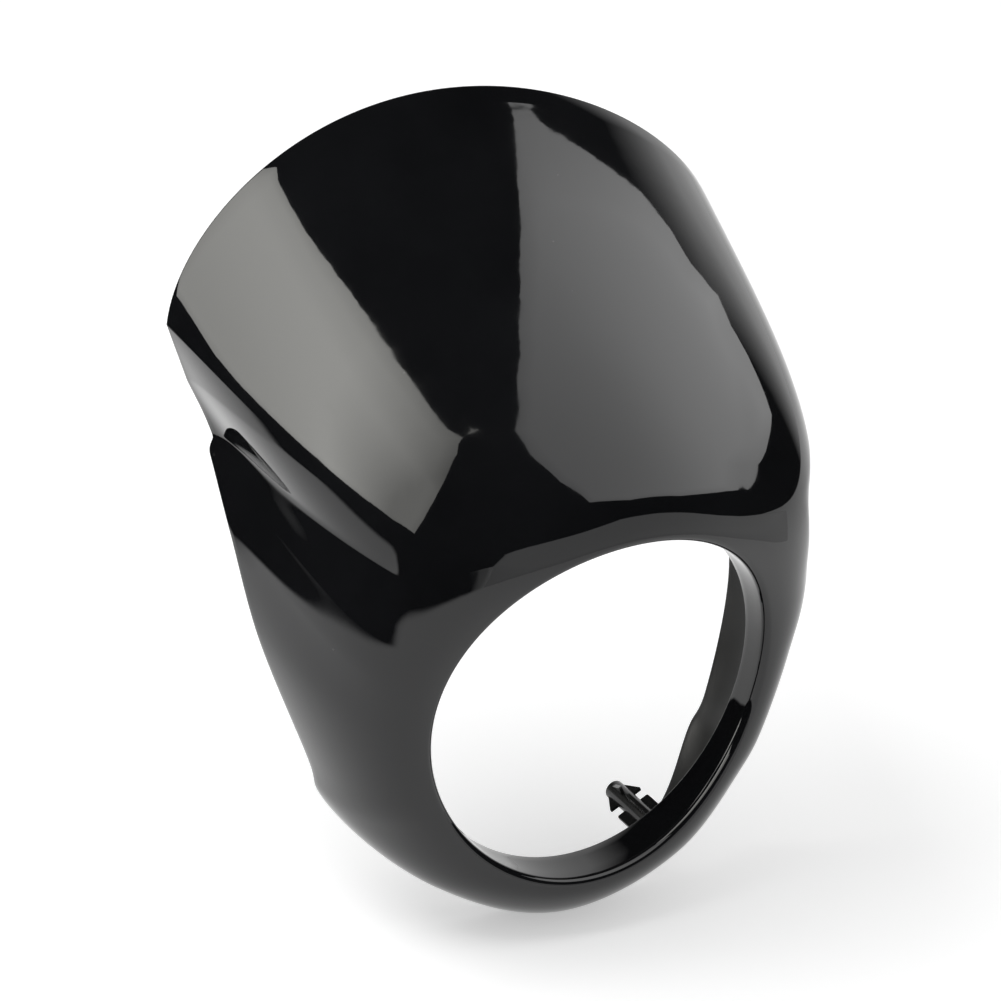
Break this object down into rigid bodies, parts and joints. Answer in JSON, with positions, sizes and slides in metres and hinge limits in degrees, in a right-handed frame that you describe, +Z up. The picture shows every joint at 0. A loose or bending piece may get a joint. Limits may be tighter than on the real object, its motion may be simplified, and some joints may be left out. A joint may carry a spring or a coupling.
{
  "type": "headlight cowl",
  "caption": "One-piece moulded motorcycle headlight cowl with a round lamp opening, swept-back visor, fluted shoulders and screw bosses.",
  "frame": {"origin": "centre of the round lamp opening, on the lamp's axis at the front face", "axes": "-Y is the way the lamp shines, +Z is up towards the crown of the visor, X runs across the cowl"},
  "size_m": [0.283, 0.1965, 0.3236],
  "materials": {
    "shell": "gloss"
  },
  "bodies": {
    "root": {"cowl": "shell"}
  },
  "joints": []
}
